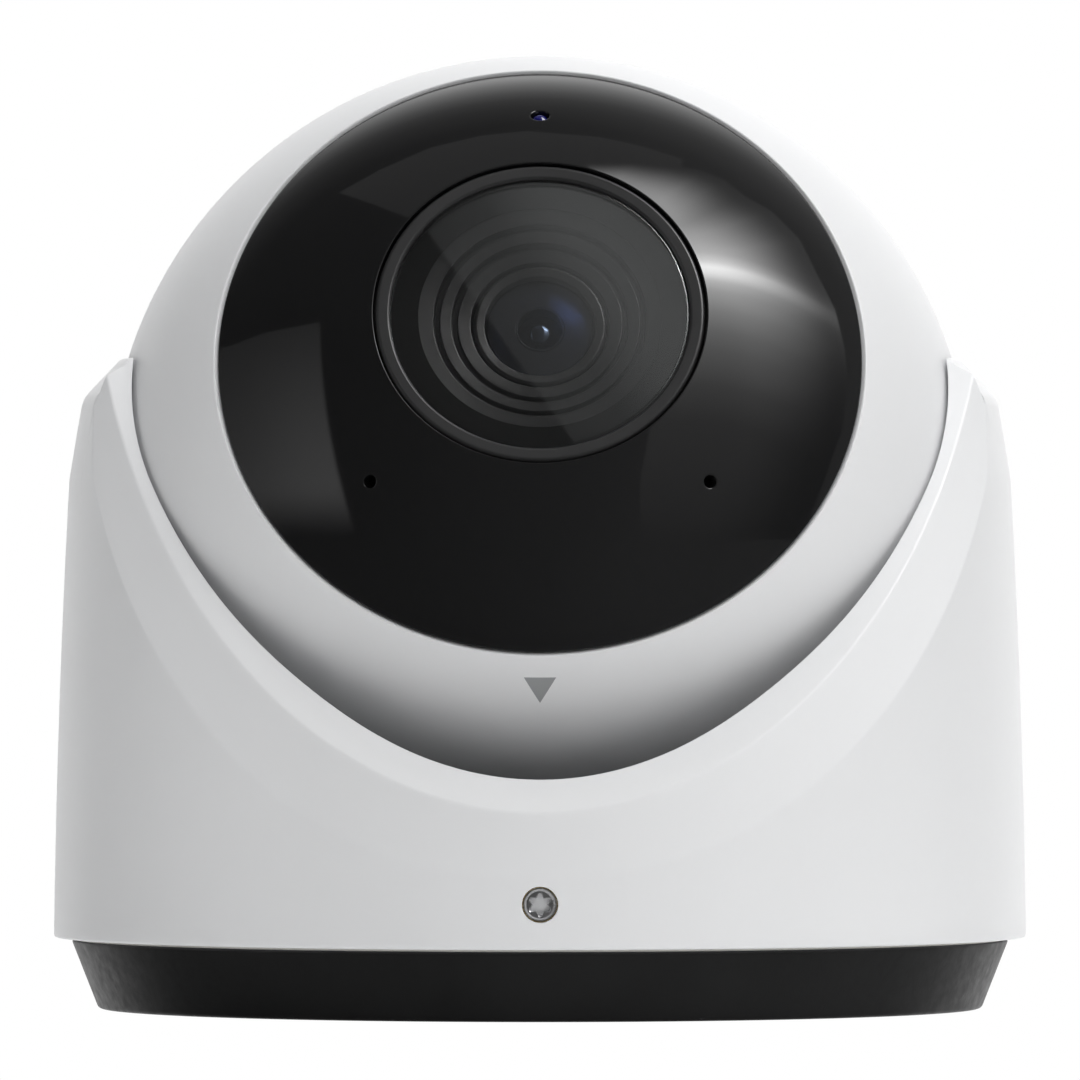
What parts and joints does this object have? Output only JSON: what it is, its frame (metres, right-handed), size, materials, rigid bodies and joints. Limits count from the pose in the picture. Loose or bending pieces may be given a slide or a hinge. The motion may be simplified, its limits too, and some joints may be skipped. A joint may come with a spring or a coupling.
{
  "type": "turret security camera",
  "caption": "Round ceiling or wall security camera: a ball with a black glossy front turns in a slant-cut white cover on a black mounting base.",
  "frame": {"origin": "centre of the flat mounting face under the base", "axes": "+Z out of the mounting face through the cover, front of the camera (lens) towards -Y, +X to the viewer's right when facing the lens"},
  "size_m": [0.12, 0.12, 0.1175],
  "materials": {
    "white_shell": "fine satin white moulded plastic",
    "black_base": "satin black moulded plastic",
    "black_dome": "polished black moulded plastic",
    "black_ring": "satin black moulded plastic",
    "black_inner": "matt black moulded plastic",
    "print_black": "black print on glass",
    "window_glass": "clear flat glass",
    "coated_glass": "coated optical glass",
    "filter_glass": "tinted filter glass",
    "sensor_glass": "blue clear epoxy",
    "mark_grey": "grey pad print",
    "rubber_black": "black silicone rubber",
    "acetal": "natural acetal",
    "jack_plastic": "black moulded plastic",
    "gold": "gold plated contact",
    "brass": "turned brass",
    "steel": "zinc plated steel",
    "lock_steel": "satin stainless steel",
    "bronze": "sintered bronze",
    "aluminium": "die cast aluminium",
    "black_metal": "black anodised metal",
    "board_green": "green circuit board",
    "chip_black": "moulded chip package",
    "led_clear": "clear epoxy",
    "copper": "enamelled copper wire",
    "amber_film": "amber polyimide film",
    "lead_jacket": "black lead jacket",
    "button_white": "white moulded button"
  },
  "bodies": {
    "base": {"mounting_base": "black_base", "base_gasket": "rubber_black", "pan_glide_ring": "acetal", "network_jack": "jack_plastic", "jack_contacts": "gold", "jack_board": "board_green", "jack_board_screws": "steel", "lead_connector": "acetal", "reset_switch": "chip_black", "base_lead": "lead_jacket"},
    "reset_button": {"reset_plunger": "button_white"},
    "cover": {"outer_cover": "white_shell", "lock_insert": "brass", "pivot_bushes": "bronze"},
    "lock": {"lock_screw": "lock_steel"},
    "yoke": {"tilt_yoke": "steel", "pivot_pins": "steel"},
    "filter_carriage": {"filter_slider": "black_inner", "filter_glasses": "filter_glass"},
    "eyeball": {"front_shell": "white_shell", "rear_shell": "white_shell", "dome_cover": "black_dome", "lens_ring": "black_ring", "lens_baffle": "black_inner", "lens_holder": "black_inner", "filter_frame": "black_inner", "microphones": "black_inner", "window_mask": "print_black", "lens_window": "window_glass", "front_lens": "coated_glass", "rear_lenses": "coated_glass", "light_sensor": "sensor_glass", "orientation_mark": "mark_grey", "shell_seal": "rubber_black", "dome_gasket": "rubber_black", "window_seal": "rubber_black", "mic_boots": "rubber_black", "cable_gland": "rubber_black", "thermal_pads": "rubber_black", "friction_washer": "acetal", "lead_socket": "acetal", "lens_screws": "steel", "board_screws": "steel", "heat_sink_screws": "steel", "shell_screws": "steel", "heat_sink": "aluminium", "lens_barrel": "black_metal", "focus_lock_ring": "black_metal", "iris_ring": "black_metal", "roll_nut": "black_metal", "sensor_board": "board_green", "main_board": "board_green", "led_board": "board_green", "processor": "chip_black", "board_chips": "chip_black", "image_sensor": "chip_black", "ir_leds": "led_clear", "filter_coil": "copper", "flex_ribbon": "amber_film", "ball_lead": "lead_jacket"}
  },
  "joints": [
    {"name": "pan", "type": "hinge", "parent": "base", "child": "cover", "pos_m": [0, 0, 0.0142], "axis": [0, 0, 1], "range_deg": [-170, 170]},
    {"name": "tilt", "type": "hinge", "parent": "cover", "child": "yoke", "pos_m": [0, 0, 0.0642], "axis": [-1, 0, 0], "range_deg": [-15, 64.5], "deforming": ["base_lead"]},
    {"name": "roll", "type": "hinge", "parent": "yoke", "child": "eyeball", "pos_m": [0, 0, 0.0642], "axis": [0, -0.9026, 0.4305], "range_deg": [-170, 170]},
    {"name": "filter_shift", "type": "slide", "parent": "eyeball", "child": "filter_carriage", "axis": [-1, 0, 0], "range_m": [0, 0.0095]},
    {"name": "lock_turn", "type": "hinge", "parent": "cover", "child": "lock", "pos_m": [0, -0.057, 0.0142], "axis": [0, -1, 0], "range_deg": [0, 720]},
    {"name": "reset_press", "type": "slide", "parent": "base", "child": "reset_button", "axis": [0, 0, 1], "range_m": [0, 0.0005], "stiffness_N_per_m": 400}
  ]
}
